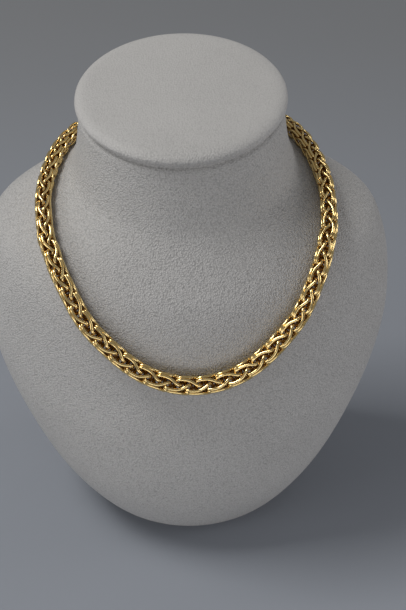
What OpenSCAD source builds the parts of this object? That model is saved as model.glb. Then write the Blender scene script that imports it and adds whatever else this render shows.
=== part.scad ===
// Wheat chain necklace on a plain neck bust.
// Two sets of folded wire links, turned a quarter to each other, take turns along the
// chain. The eyes of each link hold the waist of the next one of its own set. The chain
// is thick in front and thin at the nape, and it lies all round on the skin of the bust.
// The bust faces -Y and stands on the flat foot under the middle of its neck.

/* [Bust] */
// Height of the bust, at the middle of the neck's top face
bust_h = 209; // [192:0.5:228]
// Width across the shoulders
shoulder_w = 183.2; // [168:0.2:200]
// Width of the neck below its rim
neck_w = 86; // [78:1:94]
// Depth of the neck below its rim
neck_d = 82; // [74:1:90]
// Slope of the neck's top face towards the front, in degrees
neck_slope = 9.8; // [7:0.2:14]
// Height of the padded rim round the neck's top face
rim_h = 7; // [5:0.5:10]
// How far the padded rim stands out from the neck
rim_lip = 1.4; // [0.8:0.1:2]
// How far the chest comes forward of the middle of the neck
chest_reach = 73.5; // [67:0.5:80]
// How far the back lies behind the middle of the neck
back_reach = 43; // [43:1:52]
// Width of the flat foot
foot_w = 89; // [70:1:100]
// How far the foot comes forward of the middle of the neck
foot_reach = 47; // [42:0.2:58]

/* [Chain] */
// How far the chain's line at the front is below the middle of the neck's top face
front_drop = 101; // [94:0.2:112]
// How far the chain's line at the nape is below the middle of the neck's top face
nape_drop = 36; // [28:0.5:38]
// Turn of the chain's lowest point round the neck, to the right, in degrees
front_turn = 2; // [-4:0.5:4]
// Width of the chain at the front
front_w = 8.2; // [7.4:0.1:8.8]
// Width of the chain at the nape
nape_w = 6; // [5.6:0.1:6.8]
// Distance from a link at the front to the next one of its set
front_pitch = 8.75; // [8.4:0.05:9.2]
// Turn of the links about the chain's own line, towards the neck, in degrees
link_turn = 32; // [20:1:40]
// Thickness of the link wire at the front
wire_d = 1.08; // [0.9:0.02:1.14]
// Clearance between the chain and the skin of the bust
seat_gap = 0.35; // [0.25:0.05:0.8]

/* [Clasp] */
// Width of the clasp, along the skin of the bust
clasp_w = 7; // [6.6:0.1:8]
// Thickness of the clasp
clasp_t = 6.4; // [6.2:0.1:7.4]

/* [Hidden] */

skin_color = [0.66, 0.65, 0.63];
gold_color = [0.83, 0.62, 0.24];

// Sections of the bust from the foot up, as shares of the named sizes.
// rise: of the height up to the rim; rim: of the rim's height; flare: from foot to
// shoulder width; narrow: from shoulder to neck width; chest: from foot to chest reach;
// throat: from chest or back reach to the neck's; lean: of the neck's slope; lip: of the rim's
SECTIONS = [
    // rise, rim, flare, narrow, chest, throat, lean, lip
    [0.000, 0.0, 0.00, 0.000, 0.00, 0.00, 0.00, 0.0],
    [0.045, 0.0, 0.25, 0.000, 0.38, 0.00, 0.00, 0.0],
    [0.175, 0.0, 0.58, 0.000, 0.90, 0.06, 0.00, 0.0],
    [0.340, 0.0, 0.86, 0.000, 1.00, 0.08, 0.00, 0.0],
    [0.485, 0.0, 1.00, 0.000, 1.00, 0.21, 0.04, 0.0],
    [0.610, 0.0, 1.00, 0.000, 1.00, 0.32, 0.18, 0.0],
    [0.704, 0.0, 1.00, 0.075, 1.00, 0.45, 0.46, 0.0],
    [0.772, 0.0, 1.00, 0.240, 1.00, 0.64, 0.72, 0.0],
    [0.838, 0.0, 1.00, 0.730, 1.00, 0.86, 0.84, 0.0],
    [0.884, 0.0, 1.00, 0.920, 1.00, 0.93, 0.86, 0.0],
    [1.000, 0.0, 1.00, 1.000, 1.00, 1.00, 1.00, 0.0],
    [1.000, 0.3, 1.00, 1.000, 1.00, 1.00, 1.00, 0.8],
    [1.000, 0.7, 1.00, 1.000, 1.00, 1.00, 1.00, 0.9],
    [1.000, 1.0, 1.00, 1.000, 1.00, 1.00, 1.00, -1.2],
];
neck_row = 10;          // row of SECTIONS where the rim begins
body_steps = 2;         // rings from one section to the next, below the rim
seat_rows = [6, 9];     // sections of the shoulder and neck root that the chain lies on
seat_steps = 4;         // rings from one section to the next there
bust_sides = 36;
back_square = 0.8;      // how much squarer than an ellipse the back is, below the neck

// Chosen points of the chain's line, from its lowest point at the front round to the nape.
// turn: round the neck, in degrees; rise: from the front level to the nape level
ROUTE = [
    // turn, rise
    [0, 0.000],
    [13, 0.086],
    [26, 0.354],
    [36, 0.623],
    [44, 0.750],
    [52, 0.807],
    [62, 0.861],
    [76, 0.908],
    [94, 0.957],
    [114, 0.976],
    [135, 0.989],
    [158, 0.997],
    [180, 1.000],
];
route_samples = 180;

// Corners of a quarter of a link.
// along: of the pitch; out and open: of the chain's width, away from the chain's middle
// towards its own eyes, and across the eye
LINK_CORNERS = [
    // along, out, open
    [0.022, 0.390, 0.086],
    [0.665, 0.468, 0.106],
    [1.182, 0.235, 0.317],
];
wire_sides = 5;
mitre_limit = 1.25;     // the most that a corner's ring is widened
link_reach = 0.54;      // the most that a link reaches from the chain's line, of the chain's width

// Clasp body, as a share of its length and of its width and thickness
CLASP_SECTIONS = [
    // along, size
    [0.00, 0.84],
    [0.05, 0.96],
    [0.15, 1.00],
    [0.50, 1.00],
    [0.85, 1.00],
    [0.95, 0.96],
    [1.00, 0.84],
];
clasp_sides = 16;
clasp_square = 4;       // power of its rounded square section
clasp_steps = 7;        // link steps that the clasp takes up in the loop
clasp_links = 2;        // links soldered into each end of the clasp
clasp_lead = 1.6;       // link steps from the last free link's follower to the body
clasp_tail = 0.4;       // link steps from the body to the first free link

function mix(a, b, t) = a + (b - a) * t;
function unit(v) = v / norm(v);
function fit_curve(a, b, c, d, t) =
    0.5 * (2 * b + (c - a) * t + (2 * a - 5 * b + 4 * c - d) * t * t
        + (3 * b - a - 3 * c + d) * t * t * t);

// Sizes of each section: height, half width, front reach, back reach, lean
SECTION_SIZES = [for (s = SECTIONS)
    let (lip = rim_lip * s[7])
    [s[0] * (bust_h - rim_h) + s[1] * rim_h,
     mix(mix(foot_w, shoulder_w, s[2]), neck_w, s[3]) / 2 + lip,
     mix(mix(foot_reach, chest_reach, s[4]), neck_d / 2, s[5]) + lip,
     mix(back_reach, neck_d / 2, s[5]) + lip,
     s[6]]];
last_row = len(SECTIONS) - 1;

function section_at(u) =
    let (i = min(floor(u), last_row - 1), b = SECTION_SIZES[i], c = SECTION_SIZES[i + 1],
         a = i > 0 ? SECTION_SIZES[i - 1] : 2 * b - c,
         d = i < last_row - 1 ? SECTION_SIZES[i + 2] : 2 * c - b)
    fit_curve(a, b, c, d, u - i);

// A point of the skin: u counts sections from the foot, turn is 0 at the front
function skin(u, turn) =
    let (s = section_at(u), power = 2 / (2 + back_square * (1 - min(1, max(0, s[4])))),
         front = cos(turn) >= 0,
         x = s[1] * (front ? sin(turn) : sign(sin(turn)) * pow(abs(sin(turn)), power)),
         y = front ? -s[2] * cos(turn) : s[3] * pow(-cos(turn), power))
    [x, y, s[0] + s[4] * tan(neck_slope) * y];

function skin_normal(u, turn) =
    unit(cross(skin(u, turn + 0.5) - skin(u, turn - 0.5), skin(u + 0.01, turn) - skin(u - 0.01, turn)));

// A closed surface through rings with as many points each
module rings_body(rings) {
    sides = len(rings[0]);
    last = len(rings) - 1;
    polyhedron(
        points = [for (r = rings) each r],
        faces = [
            [for (j = [0 : sides - 1]) j],
            [for (j = [sides - 1 : -1 : 0]) last * sides + j],
            for (i = [0 : last - 1], j = [0 : sides - 1])
                let (k = (j + 1) % sides, p = i * sides, q = p + sides)
                each [[p + j, q + j, q + k], [p + j, q + k, p + k]]],
        convexity = 6);
}

BUST_ROWS = concat([for (i = [0 : neck_row - 1])
                       let (steps = i >= seat_rows[0] && i < seat_rows[1] ? seat_steps : body_steps)
                       each [for (k = [0 : steps - 1]) i + k / steps]],
                   [for (i = [neck_row : last_row]) i]);

module bust() {
    color(skin_color)
    rings_body([for (u = BUST_ROWS) [for (j = [0 : bust_sides - 1]) skin(u, 360 * j / bust_sides)]]);
}

// The chain's line, from the nape down the left, across the front and up the right
LEVELS = [for (u = [0 : 0.05 : neck_row]) [section_at(u)[0], u]];

// A point of the route, which goes on in mirror image past the front and past the nape
function route_point(i) =
    let (last = len(ROUTE) - 1)
    i < 0 ? [-ROUTE[-i][0], ROUTE[-i][1]]
    : i > last ? [360 - ROUTE[2 * last - i][0], ROUTE[2 * last - i][1]]
    : ROUTE[i];

// Row and turn of the chain's line on the skin: share goes from -1 at the nape, down the
// left to 0 at the front, and up the right to 1
function route_at(share) =
    let (last = len(ROUTE) - 1, k = min(abs(share) * last, last - 0.0001), i = floor(k),
         p = fit_curve(route_point(i - 1), route_point(i), route_point(i + 1), route_point(i + 2), k - i))
    [lookup(bust_h - mix(front_drop, nape_drop, p[1]), LEVELS), front_turn + sign(share) * p[0]];

PLACES = [for (i = [0 : route_samples]) route_at(2 * i / route_samples - 1)];
SKIN_LINE = [for (p = PLACES) skin(p[0], p[1])];
NORMALS = [for (p = PLACES) skin_normal(p[0], p[1])];

// Running sum of the distances between points, each divided by its own value
function running(points, by) =
    [for (i = 0, sum = 0; i < len(points);
          sum = sum + (i + 1 < len(points) ? 2 * norm(points[i + 1] - points[i]) / (by[i] + by[i + 1]) : 0),
          i = i + 1) sum];

SKIN_RUN = running(SKIN_LINE, [for (p = SKIN_LINE) 1]);
WIDTHS = [for (r = SKIN_RUN) mix(nape_w, front_w, (1 - cos(360 * r / SKIN_RUN[route_samples])) / 2)];
CHAIN_LINE = [for (i = [0 : route_samples]) SKIN_LINE[i] + NORMALS[i] * (WIDTHS[i] * link_reach + seat_gap)];

// Places along the chain are counted in chain widths, so that links keep their form
COUNT = running(CHAIN_LINE, WIDTHS);
loop_count = COUNT[route_samples];
pitch_share = front_pitch / front_w;
loop_steps = 2 * round(loop_count / pitch_share);
step_count = loop_count / loop_steps;
free_links = loop_steps - clasp_steps;
first_place = (clasp_steps - clasp_lead + clasp_tail) / 2;  // link steps from the nape to the first link

X_AT = [for (i = [0 : route_samples]) [COUNT[i], CHAIN_LINE[i][0]]];
Y_AT = [for (i = [0 : route_samples]) [COUNT[i], CHAIN_LINE[i][1]]];
Z_AT = [for (i = [0 : route_samples]) [COUNT[i], CHAIN_LINE[i][2]]];
NX_AT = [for (i = [0 : route_samples]) [COUNT[i], NORMALS[i][0]]];
NY_AT = [for (i = [0 : route_samples]) [COUNT[i], NORMALS[i][1]]];
NZ_AT = [for (i = [0 : route_samples]) [COUNT[i], NORMALS[i][2]]];
W_AT = [for (i = [0 : route_samples]) [COUNT[i], WIDTHS[i]]];

function round_loop(c) = c - loop_count * floor(c / loop_count);
function line_at(c) = let (k = round_loop(c)) [lookup(k, X_AT), lookup(k, Y_AT), lookup(k, Z_AT)];
function width_at(c) = lookup(round_loop(c), W_AT);
function along_at(c) = unit(line_at(c + step_count / 4) - line_at(c - step_count / 4));
function normal_at(c, along) =
    let (k = round_loop(c), n = [lookup(k, NX_AT), lookup(k, NY_AT), lookup(k, NZ_AT)])
    unit(n - along * (n * along));

// A place beside the chain's line: across and away are measured from it along the skin
// and straight off the skin
function beside(c, across, away) =
    let (along = along_at(c), n = normal_at(c, along))
    line_at(c) + cross(along, n) * across + n * away;

// Corners of the closed loop of a link: along, out, open, with their signs
LINK_LOOP = [for (side = [1, -1], k = [0 : 5])
    let (q = LINK_CORNERS[k < 3 ? k : 5 - k])
    [q[0], side * q[1], (k < 3 ? side : -side) * q[2]]];

// Links of one set have their eyes along one diagonal of the chain, and the others
// along the other diagonal
function link_corner(index, q) =
    let (c = step_count * (first_place + index + 2 * q[0]), w = width_at(c) / sqrt(2),
         x = (q[1] + q[2]) * w, y = (index % 2 == 0 ? 1 : -1) * (q[1] - q[2]) * w)
    [beside(c, x * cos(link_turn) - y * sin(link_turn), x * sin(link_turn) + y * cos(link_turn)),
     line_at(c), width_at(c)];

function link_rings(index) =
    let (loop = [for (q = LINK_LOOP) link_corner(index, q)], n = len(loop))
    [for (i = [0 : n - 1])
        let (p = loop[i][0],
             to = unit(loop[(i + 1) % n][0] - p),
             from = unit(p - loop[(i + n - 1) % n][0]),
             t = unit(to + from),
             out = p - loop[i][1],
             u = unit(out - t * (out * t)),
             v = cross(t, u),
             inner = unit(to - from),
             stretch = min(mitre_limit, 2 / norm(to + from)) - 1,
             r = wire_d / 2 * loop[i][2] / front_w)
        [for (j = [0 : wire_sides - 1])
            let (o = r * (cos(360 * j / wire_sides) * u + sin(360 * j / wire_sides) * v))
            p + o + inner * ((o * inner) * stretch)]];

// Links from one index to another, as loose closed loops of wire
module links(first, last) {
    n = len(LINK_LOOP);
    per_link = n * wire_sides;
    polyhedron(
        points = [for (index = [first : last]) each [for (ring = link_rings(index)) each ring]],
        faces = [for (m = [0 : last - first], i = [0 : n - 1], j = [0 : wire_sides - 1])
            let (k = (j + 1) % wire_sides, p = m * per_link + i * wire_sides,
                 q = m * per_link + ((i + 1) % n) * wire_sides)
            each [[p + j, q + j, q + k], [p + j, q + k, p + k]]],
        convexity = 20);
}

half_links = floor(free_links / 2);

module left_chain() {
    color(gold_color) links(0, half_links - 1);
}

module right_chain() {
    color(gold_color) links(half_links, free_links - 1);
}

// The clasp's body lies on the chain's line, as thick above it as it needs to clear the skin
clasp_from = step_count * (first_place + free_links + clasp_lead);
clasp_to = step_count * (first_place + loop_steps - clasp_tail);

function clasp_ring(along, size) =
    let (c = mix(clasp_from, clasp_to, along), lift = (clasp_t - width_at(c)) / 2)
    [for (j = [0 : clasp_sides - 1])
        let (a = -360 * j / clasp_sides, power = 2 / clasp_square)
        beside(c, size * clasp_w / 2 * sign(cos(a)) * pow(abs(cos(a)), power),
               lift + size * clasp_t / 2 * sign(sin(a)) * pow(abs(sin(a)), power))];

module clasp() {
    color(gold_color) {
        rings_body([for (s = CLASP_SECTIONS) clasp_ring(s[0], s[1])]);
        links(free_links, free_links + clasp_links - 1);
        links(loop_steps - clasp_links, loop_steps - 1);
    }
}

bust();
left_chain();
right_chain();
clasp();
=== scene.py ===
# Wheat chain necklace on a plain neck bust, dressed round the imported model.
# The bust faces -Y and its foot is on the floor. Sizes are in metres.
import math
import bmesh
import bpy
import numpy as np
from mathutils import Matrix, Vector


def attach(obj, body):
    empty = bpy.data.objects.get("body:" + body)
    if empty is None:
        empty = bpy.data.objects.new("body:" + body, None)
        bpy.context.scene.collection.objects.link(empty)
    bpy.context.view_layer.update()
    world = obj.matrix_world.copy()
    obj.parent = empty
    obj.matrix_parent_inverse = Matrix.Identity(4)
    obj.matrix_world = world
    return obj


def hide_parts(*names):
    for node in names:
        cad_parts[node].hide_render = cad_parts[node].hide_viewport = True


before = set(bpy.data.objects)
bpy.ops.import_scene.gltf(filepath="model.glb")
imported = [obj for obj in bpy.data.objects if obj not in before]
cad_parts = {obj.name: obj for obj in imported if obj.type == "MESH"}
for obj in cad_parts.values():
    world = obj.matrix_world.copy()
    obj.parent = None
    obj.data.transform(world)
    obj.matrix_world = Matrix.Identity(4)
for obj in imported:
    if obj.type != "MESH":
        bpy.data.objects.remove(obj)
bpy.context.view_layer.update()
print("frame loaded")

# Node trees. A Sock is a node's output that takes part in Python expressions, and a Tree
# adds nodes: a type, its settings, then the values or links of its sockets.

mixSockets = {"FLOAT": (2, 3, 0), "VECTOR": (4, 5, 1), "RGBA": (6, 7, 2)}   # two inputs, the result


class Sock:
    def __init__(self, tree, socket):
        self.tree = tree
        self.socket = socket

    def maths(self, operation, *values):
        return self.tree.add("ShaderNodeMath", {"operation": operation}, values)

    def floor(self):
        return self.maths("FLOOR", self)

    def __add__(self, other):
        return self.maths("ADD", self, other)

    def __sub__(self, other):
        return self.maths("SUBTRACT", self, other)

    def __rsub__(self, other):
        return self.maths("SUBTRACT", other, self)

    def __mul__(self, other):
        return self.maths("MULTIPLY", self, other)

    def __truediv__(self, other):
        return self.maths("DIVIDE", self, other)

    def __pow__(self, other):
        return self.maths("POWER", self, other)

    def __mod__(self, other):
        return self.maths("MODULO", self, other)

    __radd__ = __add__
    __rmul__ = __mul__


class Tree:
    def __init__(self, nodeTree):
        self.nodeTree = nodeTree

    def node(self, kind, settings=None, sockets=None):
        made = self.nodeTree.nodes.new(kind)
        for name, value in (settings or {}).items():
            setattr(made, name, value)
        pairs = sockets.items() if isinstance(sockets, dict) else enumerate(sockets or [])
        for key, value in pairs:
            if isinstance(value, Sock):
                self.nodeTree.links.new(value.socket, made.inputs[key])
            else:
                made.inputs[key].default_value = value
        return made

    def add(self, kind, settings=None, sockets=None, output=0):
        return Sock(self, self.node(kind, settings, sockets).outputs[output])

    def blend(self, kind, factor, first, second):
        a, b, result = mixSockets[kind]
        return self.add("ShaderNodeMix", {"data_type": kind}, {0: factor, a: first, b: second}, result)

    def colours(self, factor, first, second):
        ends = [value if isinstance(value, Sock) else (*value, 1) for value in (first, second)]
        return self.blend("RGBA", factor, *ends)


def newMaterial(name):
    material = bpy.data.materials.new(name)
    material.use_nodes = True
    material.node_tree.nodes.clear()
    return material, Tree(material.node_tree)


def finishMaterial(tree, surface):
    tree.node("ShaderNodeOutputMaterial", None, {"Surface": surface})


def makeObject(name, data):
    made = bpy.data.objects.new(name, data)
    bpy.context.scene.collection.objects.link(made)
    return made


# Bust: the sections of the part's source, with a softer rim and a padded face

bust = {
    "height": 0.209, "shoulderWidth": 0.1832, "neckWidth": 0.086, "neckDepth": 0.082,
    "neckSlope": 9.8, "rimHeight": 0.007, "rimLip": 0.0014, "chestReach": 0.0735,
    "backReach": 0.043, "footWidth": 0.089, "footReach": 0.047, "backSquare": 0.8,
    "footEdge": 0.975,   # the lowest ring against the section there
    "pastNeck": (0.3, 0.8),   # rim and lip of the section that guides the curve out of the neck
    "sides": 144, "rowsPerSection": 8, "faceRings": 14, "padRise": 0.0011,
    "rowStep": 0.01, "turnStep": 0.5,   # half the steps that a normal is measured over
}
bustSections = [  # rise, flare, narrow, chest, throat, lean
    (0.000, 0.00, 0.000, 0.00, 0.00, 0.00),
    (0.045, 0.25, 0.000, 0.38, 0.00, 0.00),
    (0.175, 0.58, 0.000, 0.90, 0.06, 0.00),
    (0.340, 0.86, 0.000, 1.00, 0.08, 0.00),
    (0.485, 1.00, 0.000, 1.00, 0.21, 0.04),
    (0.610, 1.00, 0.000, 1.00, 0.32, 0.18),
    (0.704, 1.00, 0.075, 1.00, 0.45, 0.46),
    (0.772, 1.00, 0.240, 1.00, 0.64, 0.72),
    (0.838, 1.00, 0.730, 1.00, 0.86, 0.84),
    (0.884, 1.00, 0.920, 1.00, 0.93, 0.86),
    (1.000, 1.00, 1.000, 1.00, 1.00, 1.00),
]
rimProfile = [  # share of the rim's height, share of its lip
    (0.02, -0.60), (0.08, -0.80), (0.16, -0.65), (0.28, -0.10), (0.42, 0.60),
    (0.56, 1.00), (0.70, 0.85), (0.82, 0.35), (0.92, -0.40), (0.98, -1.40), (1.02, -2.80),
]


def mix(a, b, t):
    return a + (b - a) * t


# A smooth curve from b to c, with a before them and d after
def fitCurve(a, b, c, d, t):
    square = (2 * a - 5 * b + 4 * c - d) * t * t
    cube = (3 * b - a - 3 * c + d) * t * t * t
    return 0.5 * (2 * b + (c - a) * t + square + cube)


# Height, half width, front reach, back reach and lean of one ring of the bust
def ringSizes(rise, flare, narrow, chest, throat, lean, rim=0, lip=0):
    neckHalf = bust["neckDepth"] / 2
    out = bust["rimLip"] * lip
    return np.array([
        rise * (bust["height"] - bust["rimHeight"]) + rim * bust["rimHeight"],
        mix(mix(bust["footWidth"], bust["shoulderWidth"], flare), bust["neckWidth"], narrow) / 2 + out,
        mix(mix(bust["footReach"], bust["chestReach"], chest), neckHalf, throat) + out,
        mix(bust["backReach"], neckHalf, throat) + out,
        lean])


# One section more at each end gives the curve its slope there
sections = [ringSizes(*section) for section in bustSections]
sections = [2 * sections[0] - sections[1]] + sections + [ringSizes(*bustSections[-1], *bust["pastNeck"])]
neckRow = len(bustSections) - 1


def sectionAt(row):
    k = min(int(row), neckRow - 1)
    return fitCurve(*sections[k:k + 4], row - k)


# A point of a ring. The turn is in degrees, 0 at the front.
def ringPoint(size, turn):
    height, half, front, back, lean = size
    s, c = math.sin(math.radians(turn)), math.cos(math.radians(turn))
    power = 2 / (2 + bust["backSquare"] * (1 - min(1, max(0, lean))))
    x, y = half * s, -front * c
    if c < 0:
        x, y = half * math.copysign(abs(s) ** power, s), back * (-c) ** power
    return np.array([x, y, height + lean * math.tan(math.radians(bust["neckSlope"])) * y])


def bustPoint(row, turn):
    return ringPoint(sectionAt(row), turn)


def bustNormal(row, turn):
    across = bustPoint(row, turn + bust["turnStep"]) - bustPoint(row, turn - bust["turnStep"])
    up = bustPoint(row + bust["rowStep"], turn) - bustPoint(row - bust["rowStep"], turn)
    normal = np.cross(across, up)
    return normal / np.linalg.norm(normal)


# A closed mesh through rings of points, with a point in the middle of each end
def closedRings(rings):
    work = bmesh.new()
    rows = [[work.verts.new(point) for point in ring] for ring in rings]
    for low, high in zip(rows, rows[1:]):
        for j in range(len(low)):
            k = (j + 1) % len(low)
            work.faces.new((low[j], low[k], high[k], high[j]))
    for row in (rows[0], rows[-1]):
        middle = work.verts.new(sum((v.co for v in row), Vector()) / len(row))
        for j in range(len(row)):
            work.faces.new((row[j], row[(j + 1) % len(row)], middle))
    bmesh.ops.recalc_face_normals(work, faces=work.faces)
    return work


# Rings from the foot up the body and round the rim, then inwards over the padded face
def bustRings():
    steps = neckRow * bust["rowsPerSection"]
    sizes = [sectionAt(k / bust["rowsPerSection"]) for k in range(1, steps + 1)]
    edge = bust["footEdge"]
    foot = sections[1] * np.array([1, edge, edge, edge, 1])
    sizes = [foot] + sizes + [ringSizes(*bustSections[-1], rim, lip) for rim, lip in rimProfile]
    last = sizes[-1]
    for k in range(1, bust["faceRings"]):
        share = 1 - k / bust["faceRings"]
        size = last * np.array([1, share, share, share, 1])
        size[0] += bust["padRise"] * (1 - share * share)
        sizes.append(size)
    return [[ringPoint(size, 360 * j / bust["sides"]) for j in range(bust["sides"])] for size in sizes]


leather = {
    "pale": (0.695, 0.685, 0.668), "dark": (0.196, 0.192, 0.186),
    "pebbles": 1350, "fibres": 2700, "patches": 26, "pebbleDepth": 0.00044, "fibreDepth": 0.00008,
    "tone": 0.50, "patchTone": 0.18, "pebbleTone": 0.55, "fibreTone": 0.35, "meanGrain": 0.52,
    "roughness": 0.62, "patchRoughness": 0.16, "specular": 0.35, "sheen": 0.12, "sheenRoughness": 0.45,
    "stretchFrom": 0.196, "stretchTo": 0.206, "stretched": 0.35,   # smoother over the padded face
}


# Pebbled leatherette, with its grain in the colour as well as in the bump
def makeLeather():
    material, tree = newMaterial("leatherette")
    place = tree.add("ShaderNodeTexCoord", output="Object")
    pebbles = tree.add("ShaderNodeTexVoronoi", {"feature": "SMOOTH_F1"},
                       {"Vector": place, "Scale": leather["pebbles"], "Smoothness": 0.5, "Randomness": 0.9})
    fibres = tree.add("ShaderNodeTexNoise", None,
                      {"Vector": place, "Scale": leather["fibres"], "Detail": 3})
    patches = tree.add("ShaderNodeTexNoise", None,
                       {"Vector": place, "Scale": leather["patches"], "Detail": 5, "Roughness": 0.6})
    height = tree.add("ShaderNodeSeparateXYZ", None, {"Vector": place}, "Z")
    stretch = tree.add("ShaderNodeMapRange", {"interpolation_type": "SMOOTHSTEP"},
                       {"Value": height, "From Min": leather["stretchFrom"],
                        "From Max": leather["stretchTo"], "To Min": 1, "To Max": leather["stretched"]})
    domes = 1 - pebbles
    grainTone = domes * leather["pebbleTone"] + fibres * leather["fibreTone"] - leather["meanGrain"]
    tone = patches * leather["patchTone"] + leather["tone"] + grainTone * stretch
    grain = (domes * leather["pebbleDepth"] + fibres * leather["fibreDepth"]) * stretch
    bump = tree.add("ShaderNodeBump", None, {"Height": grain, "Strength": 1, "Distance": 1})
    finishMaterial(tree, tree.add("ShaderNodeBsdfPrincipled", None, {
        "Base Color": tree.colours(tone, leather["dark"], leather["pale"]),
        "Roughness": (patches - 0.5) * leather["patchRoughness"] + leather["roughness"],
        "Normal": bump, "Specular IOR Level": leather["specular"],
        "Sheen Weight": leather["sheen"], "Sheen Roughness": leather["sheenRoughness"]}))
    return material


def makeBust():
    mesh = bpy.data.meshes.new("neck_bust")
    work = closedRings(bustRings())
    work.to_mesh(mesh)
    work.free()
    mesh.shade_smooth()
    mesh.materials.append(makeLeather())
    return makeObject("neck_bust", mesh)


neckBust = makeBust()
print("bust made")

# Chain: its line on the bust, and the links along it

chain = {
    "frontDrop": 0.101, "napeDrop": 0.036, "frontTurn": 2, "samples": 180, "levelsPerSection": 20,
    "route": ((0, 0), (13, 0.086), (26, 0.354), (36, 0.623), (44, 0.750), (52, 0.807), (62, 0.861),
              (76, 0.908), (94, 0.957), (114, 0.976), (135, 0.989), (158, 0.997), (180, 1)),   # turn, rise
    "frontWidth": 0.0082, "napeWidth": 0.006, "frontPitch": 0.00875, "seatGap": 0.00035,
    "linkTurn": 32, "linkReach": 0.54,   # turn about the chain's line, most reach from it in chain widths
    "corners": ((0.022, 0.388, 0.088), (0.620, 0.460, 0.104), (1.182, 0.238, 0.300)),  # along, out, open
    "wire": 0.172, "wireSides": 8, "linkPoints": 48,
    "guidePoints": 4, "guideSpare": 12,   # points in a step, steps past the start
    "slopeReach": 0.25,   # half the stretch that gives the line's direction, in steps
    "claspSteps": 7, "claspLinks": 2, "claspLead": 1.6, "claspTail": 0.4,
}


# Heights of the bust's sections at even steps of the row, to find a row by its height
levelRows = [k / chain["levelsPerSection"] for k in range(chain["levelsPerSection"] * neckRow + 1)]
levelHeights = [sectionAt(row)[0] for row in levelRows]


# The route goes on in mirror image past the front and past the nape
def routePoint(i):
    route = chain["route"]
    last = len(route) - 1
    if i < 0:
        return np.array((-route[-i][0], route[-i][1]))
    if i > last:
        return np.array((360 - route[2 * last - i][0], route[2 * last - i][1]))
    return np.array(route[i])


# Row and turn on the bust: share goes from -1 at the nape, down the left to 0 at the
# front, and up the right to 1
def routeAt(share):
    last = len(chain["route"]) - 1
    k = min(abs(share) * last, last - 0.0001)   # just short of the last point
    i = int(k)
    turn, rise = fitCurve(*[routePoint(j) for j in range(i - 1, i + 3)], k - i)
    height = bust["height"] - mix(chain["frontDrop"], chain["napeDrop"], rise)
    return np.interp(height, levelHeights, levelRows), chain["frontTurn"] + np.sign(share) * turn


# Length run at each point of a line, counted in the widths there
def running(points, by):
    steps = np.linalg.norm(np.diff(points, axis=0), axis=1) * 2 / (by[1:] + by[:-1])
    return np.concatenate(([0], np.cumsum(steps)))


places = [routeAt(2 * k / chain["samples"] - 1) for k in range(chain["samples"] + 1)]
skinLine = np.array([bustPoint(*place) for place in places])
skinNormals = np.array([bustNormal(*place) for place in places])
skinRun = running(skinLine, np.ones(len(places)))
widths = mix(chain["napeWidth"], chain["frontWidth"], (1 - np.cos(2 * np.pi * skinRun / skinRun[-1])) / 2)
chainLine = skinLine + skinNormals * (widths * chain["linkReach"] + chain["seatGap"])[:, None]
counts = running(chainLine, widths)
loopSteps = 2 * round(counts[-1] * chain["frontWidth"] / chain["frontPitch"])
step = counts[-1] / loopSteps
freeLinks = loopSteps - chain["claspSteps"]
firstPlace = (chain["claspSteps"] - chain["claspLead"] + chain["claspTail"]) / 2


# A value, or a vector, at a place on the loop
def alongLoop(count, values):
    values = np.asarray(values)
    place = count % counts[-1]
    if values.ndim == 1:
        return np.interp(place, counts, values)
    return np.array([np.interp(place, counts, column) for column in values.T])


# Middle, sideways, outward and width of the chain at a place on the loop
def chainFrame(count):
    reach = step * chain["slopeReach"]
    along = alongLoop(count + reach, chainLine) - alongLoop(count - reach, chainLine)
    along /= np.linalg.norm(along)
    outward = alongLoop(count, skinNormals)
    outward -= along * outward.dot(along)
    outward /= np.linalg.norm(outward)
    return alongLoop(count, chainLine), np.cross(along, outward), outward, alongLoop(count, widths)


# A line along the chain that runs a little past its own start, with the links' sideways
# and outward directions and the chain's width at each point
def makeGuide():
    spacing = step / chain["guidePoints"]
    turn = math.radians(chain["linkTurn"])
    frames = []
    for k in range((loopSteps + chain["guideSpare"]) * chain["guidePoints"]):
        middle, sideways, outward, width = chainFrame(k * spacing)
        frames.append((middle, sideways * math.cos(turn) + outward * math.sin(turn),
                       outward * math.cos(turn) - sideways * math.sin(turn), width))
    mesh = bpy.data.meshes.new("chain_guide")
    mesh.from_pydata([f[0] for f in frames], [(k, k + 1) for k in range(len(frames) - 1)], [])
    for column, name in ((1, "sideways"), (2, "outward")):
        values = np.array([f[column] for f in frames], float).ravel()
        mesh.attributes.new(name, "FLOAT_VECTOR", "POINT").data.foreach_set("vector", values)
    mesh.attributes.new("localWidth", "FLOAT", "POINT").data.foreach_set("value", [f[3] for f in frames])
    return mesh, spacing


# Corners of one link in chain widths: ahead and back round one eye, then round the other
def makeLinkShape():
    corners = []
    for side in (1, -1):
        for way in (1, -1):
            for along, out, opened in chain["corners"][::way]:
                out, opened = side * out, side * way * opened
                corners.append((2 * along * step,
                                (out + opened) / math.sqrt(2), (out - opened) / math.sqrt(2)))
    mesh = bpy.data.meshes.new("link_shape")
    mesh.from_pydata(corners, [(k, (k + 1) % len(corners)) for k in range(len(corners))], [])
    return bpy.data.objects.new("link_shape", mesh)


# Adds the inputs of a Geometry Nodes group and returns the identifier of each
def groupSockets(group, entries):
    made = {name: group.interface.new_socket(name, in_out="INPUT", socket_type="NodeSocket" + kind)
            for name, kind in entries}
    group.interface.new_socket("Geometry", in_out="OUTPUT", socket_type="NodeSocketGeometry")
    return {name: socket.identifier for name, socket in made.items()}


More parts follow.
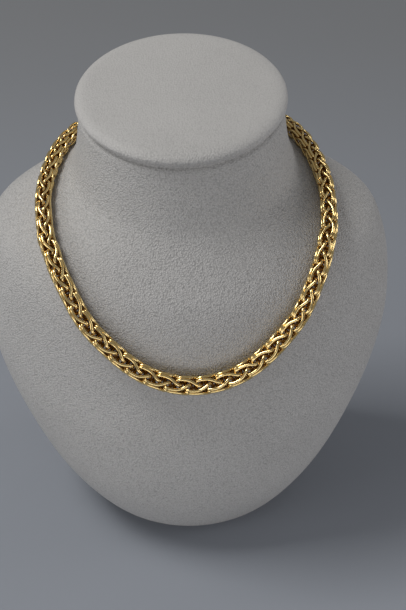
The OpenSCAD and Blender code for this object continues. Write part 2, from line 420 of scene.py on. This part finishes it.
# Repeats a link along a straight line, every other one turned a quarter, and bends them
# all onto the guide
def makeWeave():
    group = bpy.data.node_groups.new("link_weave", "GeometryNodeTree")
    keys = groupSockets(group, [
        ("Guide", "Geometry"), ("Link Shape", "Object"), ("First Link", "Int"), ("Link Count", "Int"),
        ("Lead", "Float"), ("Step", "Float"), ("Guide Spacing", "Float"), ("Wire Thickness", "Float"),
        ("Wire Sides", "Int"), ("Link Points", "Int"), ("Material", "Material")])
    tree = Tree(group)
    asked = tree.node("NodeGroupInput")

    def given(name):
        return Sock(tree, asked.outputs[name])

    shape = tree.add("GeometryNodeObjectInfo", None, {"Object": given("Link Shape")}, "Geometry")
    line = tree.add("GeometryNodeMeshToCurve", None, {"Mesh": shape})
    line = tree.add("GeometryNodeCurveSplineType", {"spline_type": "CATMULL_ROM"}, {"Curve": line})
    line = tree.add("GeometryNodeResampleCurve", {"mode": "COUNT"},
                    {"Curve": line, "Count": given("Link Points")})
    ring = tree.add("GeometryNodeCurvePrimitiveCircle", {"mode": "RADIUS"},
                    {"Resolution": given("Wire Sides"), "Radius": given("Wire Thickness") * 0.5})
    link = tree.add("GeometryNodeCurveToMesh", None, {"Curve": line, "Profile Curve": ring})

    start = (given("First Link") + given("Lead")) * given("Step")
    start = tree.add("ShaderNodeCombineXYZ", None, {"X": start})
    offset = tree.add("ShaderNodeCombineXYZ", None, {"X": given("Step")})
    places = tree.add("GeometryNodeMeshLine", {"mode": "OFFSET"},
                      {"Count": given("Link Count"), "Start Location": start, "Offset": offset})
    index = tree.add("GeometryNodeInputIndex")
    quarter = (index + given("First Link")) % 2 * (math.pi / 2)
    quarter = tree.add("ShaderNodeCombineXYZ", None, {"X": quarter})
    links = tree.add("GeometryNodeInstanceOnPoints", None,
                     {"Points": places, "Instance": link, "Rotation": quarter})
    links = tree.add("GeometryNodeRealizeInstances", None, {"Geometry": links})

    axes = tree.node("ShaderNodeSeparateXYZ", None, {"Vector": tree.add("GeometryNodeInputPosition")})
    along, across, away = (Sock(tree, socket) for socket in axes.outputs)
    # Distance from the chain's line, which the gold material uses for its painted shade
    fromMiddle = (across * across + away * away) ** 0.5
    links = tree.add("GeometryNodeStoreNamedAttribute", {"data_type": "FLOAT", "domain": "POINT"},
                     {"Geometry": links, "Name": "fromMiddle", "Value": fromMiddle})

    place = along / given("Guide Spacing")
    before = place.floor()
    between = place - before

    # A value of the guide between its two nearest points, or its position where no name is given
    def onGuide(name, kind="FLOAT_VECTOR", blendKind="VECTOR"):
        value = (tree.add("GeometryNodeInputNamedAttribute", {"data_type": kind}, {"Name": name})
                 if name else tree.add("GeometryNodeInputPosition"))
        ends = [tree.add("GeometryNodeSampleIndex", {"data_type": kind, "domain": "POINT"},
                         {"Geometry": given("Guide"), "Value": value, "Index": before + k}) for k in (0, 1)]
        return tree.blend(blendKind, between, *ends)

    width = onGuide("localWidth", "FLOAT", "FLOAT")
    target = onGuide(None)
    for name, part in (("sideways", across), ("outward", away)):
        move = tree.add("ShaderNodeVectorMath", {"operation": "SCALE"},
                        {"Vector": onGuide(name), "Scale": part * width})
        target = tree.add("ShaderNodeVectorMath", {"operation": "ADD"}, [target, move])
    links = tree.add("GeometryNodeSetPosition", None, {"Geometry": links, "Position": target})
    links = tree.add("GeometryNodeFlipFaces", None, {"Mesh": links})   # the bend mirrors the links
    links = tree.add("GeometryNodeSetShadeSmooth", None, {"Geometry": links})
    links = tree.add("GeometryNodeSetMaterial", None, {"Geometry": links, "Material": given("Material")})
    tree.node("NodeGroupOutput", None, {"Geometry": links})
    return group, keys


weave, weaveKeys = makeWeave()
guideMesh, guideSpacing = makeGuide()
linkShape = makeLinkShape()


# A plain mesh of so many links, from one place in the chain on
def weaveLinks(name, first, count, material):
    source = makeObject(name, guideMesh)
    modifier = source.modifiers.new("weave", "NODES")
    modifier.node_group = weave
    for key, value in (
            ("Link Shape", linkShape), ("First Link", first), ("Link Count", count),
            ("Lead", firstPlace), ("Step", step), ("Guide Spacing", guideSpacing),
            ("Wire Thickness", chain["wire"]), ("Wire Sides", chain["wireSides"]),
            ("Link Points", chain["linkPoints"]), ("Material", material)):
        modifier[weaveKeys[key]] = value
    bpy.context.view_layer.update()
    graph = bpy.context.evaluated_depsgraph_get()
    mesh = bpy.data.meshes.new_from_object(source.evaluated_get(graph), depsgraph=graph)
    bpy.data.objects.remove(source)
    mesh.name = name
    return mesh


gold = {
    "bright": (0.88, 0.625, 0.24), "pale": (0.96, 0.76, 0.38), "clouds": 240,
    "scratches": 3800, "scratchDepth": 0.000004, "distortion": 1.5,
    "leastRoughness": 0.08, "cloudRoughness": 0.10, "scratchRoughness": 0.08,
    # The dark brown below is painted shade between the wires, full near the chain's middle and fading out
    # towards its outside
    "paintedShade": (0.30, 0.12, 0.008), "paintedShadeFrom": 0.29, "paintedShadeTo": 0.50, "paintedShadeRoughness": 0.3,
}


# Polished yellow gold. The woven links darken towards the middle of the chain: painted shade, a dark brown
# mixed into the colour by the distance from the chain's line, standing in for the shade between the crowded
# wires.
def makeGold(name, hasPaintedShade):
    material, tree = newMaterial(name)
    place = tree.add("ShaderNodeTexCoord", output="Object")
    cloud = tree.add("ShaderNodeTexNoise", None, {"Vector": place, "Scale": gold["clouds"], "Detail": 4})
    scratches = tree.add("ShaderNodeTexNoise", None, {
        "Vector": place, "Scale": gold["scratches"], "Detail": 4, "Distortion": gold["distortion"]})
    colour = tree.colours(cloud, gold["bright"], gold["pale"])
    uneven = cloud * gold["cloudRoughness"] + scratches * gold["scratchRoughness"]
    roughness = uneven + gold["leastRoughness"]
    # Painted shade: the colour turns dark brown towards the chain's middle, where the wires shade one
    # another, and the roughness rises there
    if hasPaintedShade:
        depth = tree.add("ShaderNodeAttribute", {"attribute_name": "fromMiddle"}, None, "Fac")
        lit = tree.add("ShaderNodeMapRange", {"interpolation_type": "SMOOTHSTEP"},
                       {"Value": depth, "From Min": gold["paintedShadeFrom"], "From Max": gold["paintedShadeTo"]})
        colour = tree.colours(lit, gold["paintedShade"], colour)
        roughness = roughness + (1 - lit) * gold["paintedShadeRoughness"]
    bump = tree.add("ShaderNodeBump", None, {"Height": scratches * gold["scratchDepth"], "Distance": 1})
    finishMaterial(tree, tree.add("ShaderNodeBsdfPrincipled", None, {
        "Base Color": colour, "Metallic": 1.0, "Roughness": roughness, "Normal": bump}))
    return material


goldWire = makeGold("gold_wire", True)
goldPlain = makeGold("gold_plain", False)


def makeChain(name, first, count):
    return makeObject(name, weaveLinks(name, first, count, goldWire))


halfLinks = freeLinks // 2
leftChain = makeChain("wheat_chain_left", 0, halfLinks)
rightChain = makeChain("wheat_chain_right", halfLinks, freeLinks - halfLinks)
print("chain made, links:", freeLinks)

# Clasp: a plain rounded box at the nape, with two links soldered into each end

clasp = {
    "width": 0.007, "thickness": 0.0064, "square": 4, "sides": 48,
    "outline": (   # share of the length, share of the full size
        (0, 0.55), (0.008, 0.70), (0.025, 0.84), (0.06, 0.94), (0.11, 0.99),
        (0.18, 1.0), (0.34, 1.0), (0.5, 1.0), (0.66, 1.0), (0.82, 1.0),
        (0.89, 0.99), (0.94, 0.94), (0.975, 0.84), (0.992, 0.70), (1, 0.55)),
}


def claspRing(share, size):
    begin = step * (firstPlace + freeLinks + chain["claspLead"])
    end = step * (firstPlace + loopSteps - chain["claspTail"])
    middle, sideways, outward, width = chainFrame(mix(begin, end, share))
    power = 2 / clasp["square"]
    ring = []
    for j in range(clasp["sides"]):
        c, s = (f(2 * math.pi * j / clasp["sides"]) for f in (math.cos, math.sin))
        across = size * clasp["width"] / 2 * math.copysign(abs(c) ** power, c)
        away = size * clasp["thickness"] / 2 * math.copysign(abs(s) ** power, s)
        away += (clasp["thickness"] - width) / 2
        ring.append(middle + sideways * across + outward * away)
    return ring


def makeClasp():
    work = closedRings([claspRing(share, size) for share, size in clasp["outline"]])
    for first in (freeLinks, loopSteps - chain["claspLinks"]):
        work.from_mesh(weaveLinks("clasp_links", first, chain["claspLinks"], goldPlain))
    mesh = bpy.data.meshes.new("box_clasp")
    work.to_mesh(mesh)
    work.free()
    mesh.shade_smooth()
    mesh.materials.append(goldPlain)
    return makeObject("box_clasp", mesh)


boxClasp = makeClasp()
print("clasp made")

# Pieces on the frame

for piece, node, slot in ((neckBust, "bust", "leatherette"), (leftChain, "left_chain", "gold"),
                          (rightChain, "right_chain", "gold"), (boxClasp, "clasp", "clasp_gold")):
    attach(piece, "root")
    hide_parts(node)

# Floor, light and camera

studio = {
    # The floor's painted light falloff: floorPale near the middle, floorDark from darkFrom on
    "floorSize": 6.0, "floorPale": (0.273, 0.294, 0.332), "floorDark": (0.230, 0.238, 0.249),
    "floorMiddle": (0, -0.05, 0), "paleTo": 0.16, "darkFrom": 0.62,   # distances from the middle
    "floorClouds": 9, "cloudShare": 0.1, "floorRoughness": 0.85,
    "world": (0.99, 0.995, 1.02), "worldStrength": 0.21, "aim": (0, 0, 0.1),
    "lights": (  # name, place, size, power, colour
        ("window", (-0.8, 0.0, 1.5), (0.6, 0.6), 14.0, (1.0, 0.985, 0.965)),
        ("left_front", (-1.3, -0.7, 0.4), (0.6, 0.7), 3.6, (1.0, 0.99, 0.98)),
        ("low_front", (0.05, -0.5, 0.09), (0.6, 0.16), 0.54, (1.0, 0.985, 1.0)),
        ("right", (1.5, 0.15, 0.35), (0.7, 0.6), 5.0, (1.0, 0.985, 0.99)),
    ),
}


# A plain paper floor that darkens slowly away from the bust: painted light falloff, its colour going from
# pale near the bust to dark further out, with faint random clouds in its tone
def makeFloor():
    half = studio["floorSize"] / 2
    mesh = bpy.data.meshes.new("floor")
    corners = [(-half, -half, 0), (half, -half, 0), (half, half, 0), (-half, half, 0)]
    mesh.from_pydata(corners, [], [(0, 1, 2, 3)])
    material, tree = newMaterial("floor_paper")
    place = tree.add("ShaderNodeTexCoord", output="Object")
    away = tree.add("ShaderNodeVectorMath", {"operation": "DISTANCE"},
                    [place, studio["floorMiddle"]], "Value")
    cloud = tree.add("ShaderNodeTexNoise", None,
                     {"Vector": place, "Scale": studio["floorClouds"], "Detail": 4})
    # Painted light falloff: the paper darkens with distance from the bust
    paintedFalloff = tree.add("ShaderNodeMapRange", {"interpolation_type": "SMOOTHSTEP"},
                   {"Value": away, "From Min": studio["paleTo"], "From Max": studio["darkFrom"]})
    paintedFalloffAndClouds = paintedFalloff * (1 - studio["cloudShare"]) + cloud * studio["cloudShare"]
    finishMaterial(tree, tree.add("ShaderNodeBsdfPrincipled", None, {
        "Base Color": tree.colours(paintedFalloffAndClouds, studio["floorPale"], studio["floorDark"]),
        "Roughness": studio["floorRoughness"]}))
    mesh.materials.append(material)
    floor = makeObject("floor", mesh)


def makeLights():
    for name, place, size, power, colour in studio["lights"]:
        lamp = bpy.data.lights.new(name, "AREA")
        lamp.shape = "RECTANGLE"
        lamp.size, lamp.size_y = size
        lamp.energy = power
        lamp.color = colour
        light = makeObject(name, lamp)
        light.location = place
        light.rotation_euler = (Vector(studio["aim"]) - light.location).to_track_quat("-Z", "Y").to_euler()
    world = bpy.data.worlds.new("studio")
    world.use_nodes = True
    world.node_tree.nodes.clear()
    tree = Tree(world.node_tree)
    glow = tree.add("ShaderNodeBackground", None,
                    {"Color": (*studio["world"], 1), "Strength": studio["worldStrength"]})
    tree.node("ShaderNodeOutputWorld", None, {"Surface": glow})
    bpy.context.scene.world = world


view = {
    "elevation": 37.33, "yaw": 0.38, "roll": -1.15, "distance": 0.57344,
    "target": (0.00732, -0.010, 0.10439), "focalPixels": 1250, "imageHeight": 610, "sensor": 36,
}


def makeCamera():
    elevation, yaw, roll = (math.radians(view[key]) for key in ("elevation", "yaw", "roll"))
    level = math.cos(elevation)
    ahead = Vector((math.sin(yaw) * level, math.cos(yaw) * level, -math.sin(elevation)))
    right = ahead.cross(Vector((0, 0, 1))).normalized()
    up = right.cross(ahead)
    right, up = (math.cos(roll) * right + math.sin(roll) * up, math.cos(roll) * up - math.sin(roll) * right)
    lens = bpy.data.cameras.new("camera")
    lens.sensor_width = view["sensor"]
    lens.lens = view["focalPixels"] * view["sensor"] / view["imageHeight"]
    camera = makeObject("camera", lens)
    turn = Matrix((right, up, -ahead)).transposed()
    place = Vector(view["target"]) - ahead * view["distance"]
    camera.matrix_world = Matrix.Translation(place) @ turn.to_4x4()
    bpy.context.scene.camera = camera


makeFloor()
makeLights()
makeCamera()
bpy.context.scene.view_settings.view_transform = "Standard"
print("stage made")
